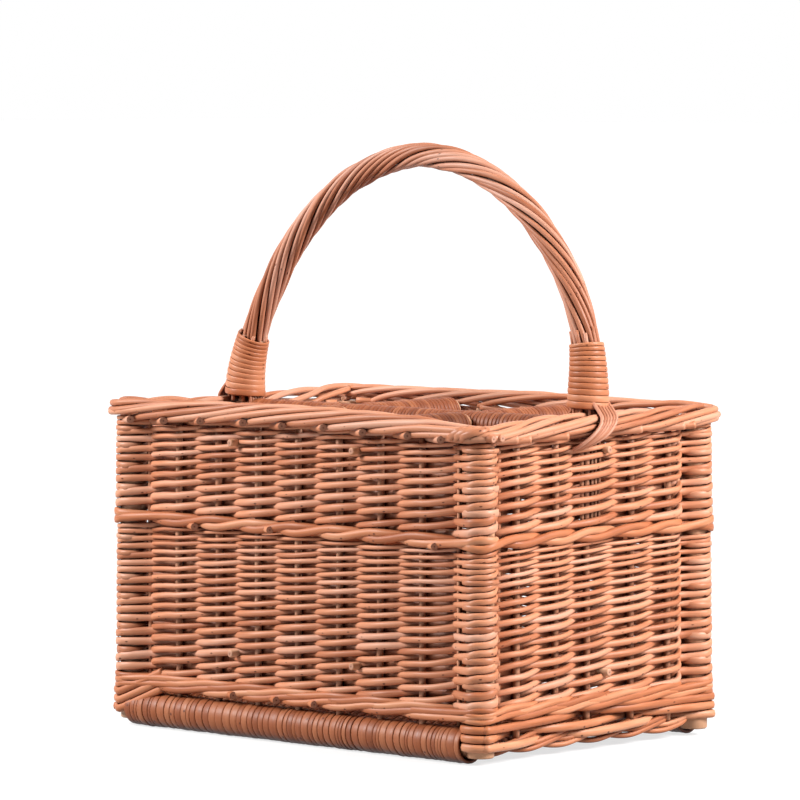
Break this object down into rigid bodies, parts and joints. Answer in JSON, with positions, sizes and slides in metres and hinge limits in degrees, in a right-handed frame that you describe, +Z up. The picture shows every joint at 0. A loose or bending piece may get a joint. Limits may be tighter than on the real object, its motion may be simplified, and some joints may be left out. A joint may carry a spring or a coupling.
{
  "type": "bottle carrier basket",
  "caption": "Rectangular woven willow bottle carrier with wound divider rails forming square cells, wound base runners and a fixed roped arch handle.",
  "frame": {"origin": "on the ground under the middle of the basket", "axes": "+Z up, X along the long walls with the front wall at -Y"},
  "size_m": [0.3716, 0.256, 0.4153],
  "materials": {
    "post": "satin peeled willow, sawn at the feet",
    "stake": "satin peeled willow",
    "siding": "satin peeled willow rods, woven",
    "wale": "satin peeled willow rods, twined",
    "border": "satin peeled willow rods",
    "strip": "smooth split willow skein",
    "core": "bare willow stick",
    "handle": "satin peeled willow rods, twisted"
  },
  "bodies": {
    "root": {"base_edge_left": "wale", "base_edge_right": "wale", "base_panel": "siding", "bottom_wale": "wale", "corner_post_back_left": "post", "corner_post_back_right": "post", "corner_post_front_left": "post", "corner_post_front_right": "post", "divider_cross_rail_back_left": "core", "divider_cross_rail_back_right": "core", "divider_cross_rail_front_left": "core", "divider_cross_rail_front_right": "core", "divider_cross_winding_back_left": "strip", "divider_cross_winding_back_right": "strip", "divider_cross_winding_front_left": "strip", "divider_cross_winding_front_right": "strip", "divider_long_rail": "core", "divider_long_winding": "strip", "handle_binding_left": "strip", "handle_binding_right": "strip", "handle_bow": "core", "handle_rope": "handle", "handle_tail_left": "handle", "handle_tail_right": "handle", "lower_divider_cross_left": "stake", "lower_divider_cross_right": "stake", "lower_divider_long": "stake", "lower_siding": "siding", "middle_wale": "wale", "rim_border": "border", "runner_back": "core", "runner_front": "core", "runner_winding_back": "strip", "runner_winding_front": "strip", "stake_back_1": "stake", "stake_back_2": "stake", "stake_back_3": "stake", "stake_back_4": "stake", "stake_back_5": "stake", "stake_back_6": "stake", "stake_back_7": "stake", "stake_front_1": "stake", "stake_front_2": "stake", "stake_front_3": "stake", "stake_front_4": "stake", "stake_front_5": "stake", "stake_front_6": "stake", "stake_front_7": "stake", "stake_left_1": "stake", "stake_left_2": "stake", "stake_left_3": "stake", "stake_left_4": "stake", "stake_left_5": "stake", "stake_right_1": "stake", "stake_right_2": "stake", "stake_right_3": "stake", "stake_right_4": "stake", "stake_right_5": "stake", "upper_siding": "siding"}
  },
  "joints": []
}
